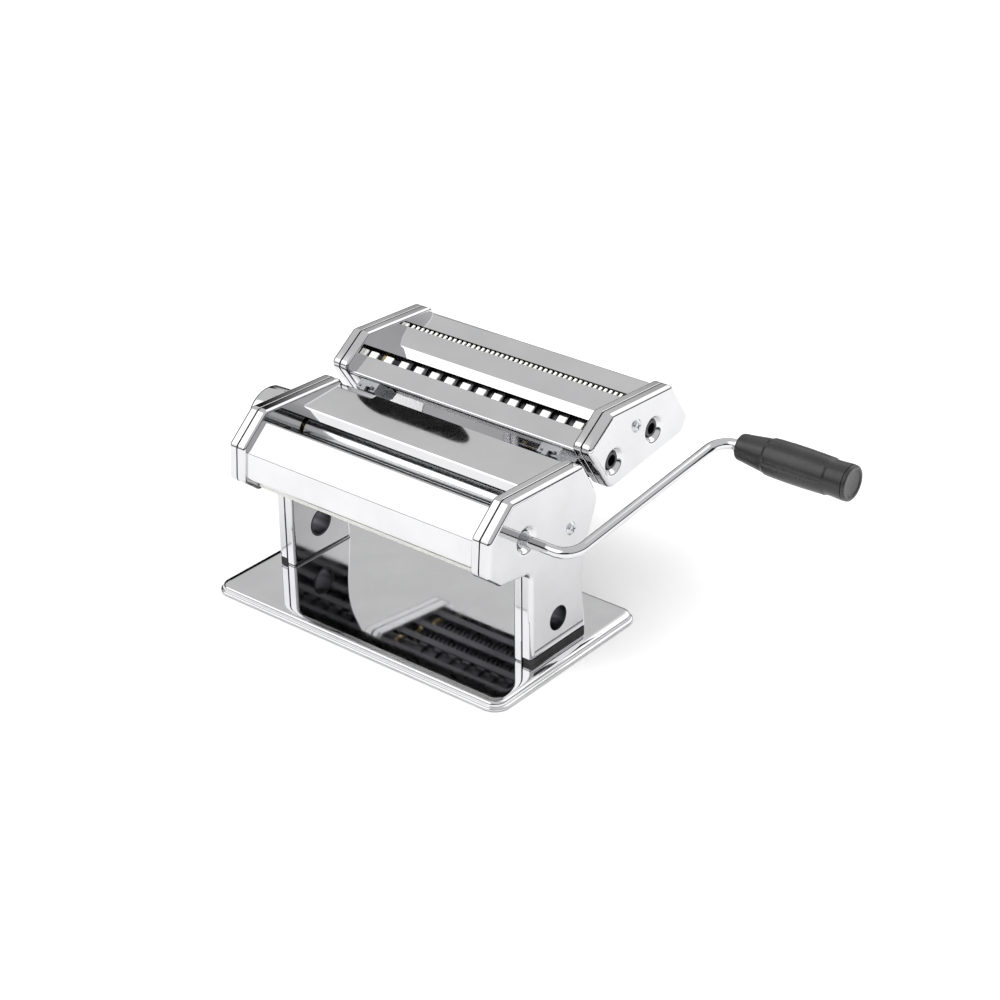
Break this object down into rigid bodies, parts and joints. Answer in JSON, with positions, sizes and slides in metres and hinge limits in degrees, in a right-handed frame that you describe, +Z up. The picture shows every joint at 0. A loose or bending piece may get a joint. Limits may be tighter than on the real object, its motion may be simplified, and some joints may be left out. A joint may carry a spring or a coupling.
{
  "type": "pasta roller machine",
  "caption": "Hand-cranked pasta roller: smooth rollers set by a side knob in a chromed two-footed stand, with a lift-off ribbon cutter on its back and a cranked handle.",
  "frame": {"origin": "middle of the underside, where the pad meets the table", "axes": "+X along the rollers towards the crank, +Y from the feed side to the cutter unit, +Z up"},
  "size_m": [0.3156, 0.1737, 0.1212],
  "materials": {
    "polished_chrome": "mirror polished",
    "zinc_screws": "bright zinc",
    "roller_steel": "fine ground",
    "machined_steel": "turned",
    "bush_brass": "turned",
    "white_nylon": "moulded",
    "black_plastic": "satin moulded",
    "pad_rubber": "matte"
  },
  "bodies": {
    "stand": {"base_tray": "polished_chrome", "non_slip_pad": "pad_rubber", "base_screws": "zinc_screws", "foot_strips": "pad_rubber", "frame_left": "polished_chrome", "frame_right": "polished_chrome", "cover_left": "polished_chrome", "cover_right": "polished_chrome", "cover_screws": "zinc_screws", "clamp_bushes": "machined_steel", "tie_rods": "machined_steel", "front_guard": "polished_chrome", "slide_plate": "polished_chrome", "rear_cover": "polished_chrome", "front_scraper": "white_nylon", "rear_scraper": "white_nylon", "cutter_rails": "machined_steel", "front_bushes": "bush_brass", "regulator_bearing": "bush_brass", "index_ring": "polished_chrome", "shaft_end_guide": "machined_steel"},
    "front_roller_set": {"front_roller": "roller_steel", "drive_shaft": "machined_steel", "front_roller_gear": "machined_steel"},
    "rear_slide_blocks": {"slide_block_left": "bush_brass", "slide_block_right": "bush_brass"},
    "rear_roller_set": {"rear_roller": "roller_steel", "rear_roller_gear": "machined_steel"},
    "regulator": {"regulator_shaft": "machined_steel"},
    "thickness_knob": {"regulator_knob": "polished_chrome", "knob_cap": "polished_chrome", "knob_pin": "machined_steel", "knob_spring": "machined_steel"},
    "crank": {"crank_rod": "polished_chrome", "crank_washer": "zinc_screws"},
    "grip": {"crank_grip": "black_plastic", "grip_cap": "black_plastic"},
    "cutter_unit": {"cutter_frame_left": "polished_chrome", "cutter_frame_right": "polished_chrome", "cutter_cover_left": "polished_chrome", "cutter_cover_right": "polished_chrome", "cutter_screws": "zinc_screws", "cutter_tie_rods": "machined_steel", "cutter_front_sheet": "polished_chrome", "cutter_middle_sheet": "polished_chrome", "cutter_rear_sheet": "polished_chrome", "cutter_hooks": "machined_steel", "cutter_bushes": "bush_brass", "wide_strippers": "white_nylon", "fine_strippers": "white_nylon"},
    "wide_drive": {"wide_drive_roller": "roller_steel", "wide_drive_gear": "machined_steel"},
    "wide_driven": {"wide_driven_roller": "roller_steel", "wide_driven_gear": "machined_steel"},
    "fine_drive": {"fine_drive_roller": "roller_steel", "fine_drive_gear": "machined_steel"},
    "fine_driven": {"fine_driven_roller": "roller_steel", "fine_driven_gear": "machined_steel"}
  },
  "joints": [
    {"name": "front_roller_spin", "type": "hinge", "parent": "stand", "child": "front_roller_set", "pos_m": [0, -0.0228, 0.0798], "axis": [1, 0, 0], "continuous": true},
    {"name": "crank_pull", "type": "slide", "parent": "front_roller_set", "child": "crank", "axis": [1, 0, 0], "range_m": [0, 0.03]},
    {"name": "grip_spin", "type": "hinge", "parent": "crank", "child": "grip", "pos_m": [0.172, 0.08773, 0.10329], "axis": [1, 0, 0], "continuous": true},
    {"name": "thickness_turn", "type": "hinge", "parent": "stand", "child": "regulator", "pos_m": [-0.1, 0.0001, 0.0798], "axis": [1, 0, 0], "range_deg": [0, 162]},
    {"name": "knob_pull", "type": "slide", "parent": "regulator", "child": "thickness_knob", "axis": [-1, 0, 0], "range_m": [0, 0.0035], "stiffness_N_per_m": 2500, "springref_m": -0.001, "deforming": ["knob_spring"]},
    {"name": "rear_roller_shift", "type": "slide", "parent": "stand", "child": "rear_slide_blocks", "axis": [0, -1, 0], "range_m": [0, 0.0019]},
    {"name": "rear_roller_spin", "type": "hinge", "parent": "rear_slide_blocks", "child": "rear_roller_set", "pos_m": [0, 0.0011, 0.0798], "axis": [1, 0, 0], "continuous": true},
    {"name": "cutter_lift", "type": "slide", "parent": "stand", "child": "cutter_unit", "axis": [0, -0.5373, 0.8434], "range_m": [0, 0.06]},
    {"name": "wide_drive_spin", "type": "hinge", "parent": "cutter_unit", "child": "wide_drive", "pos_m": [0, 0.0489, 0.0944], "axis": [1, 0, 0], "continuous": true},
    {"name": "wide_driven_spin", "type": "hinge", "parent": "cutter_unit", "child": "wide_driven", "pos_m": [0, 0.06356, 0.09646], "axis": [1, 0, 0], "continuous": true},
    {"name": "fine_drive_spin", "type": "hinge", "parent": "cutter_unit", "child": "fine_drive", "pos_m": [0, 0.0832, 0.0992], "axis": [1, 0, 0], "continuous": true},
    {"name": "fine_driven_spin", "type": "hinge", "parent": "cutter_unit", "child": "fine_driven", "pos_m": [0, 0.09786, 0.10126], "axis": [1, 0, 0], "continuous": true}
  ],
  "couplings": [
    {"joint": "rear_roller_spin", "follows": "front_roller_spin", "ratio": -1},
    {"joint": "thickness_turn", "follows": "rear_roller_shift", "rad_per_m": 1488.1},
    {"joint": "wide_driven_spin", "follows": "wide_drive_spin", "ratio": -1},
    {"joint": "fine_driven_spin", "follows": "fine_drive_spin", "ratio": -1}
  ]
}
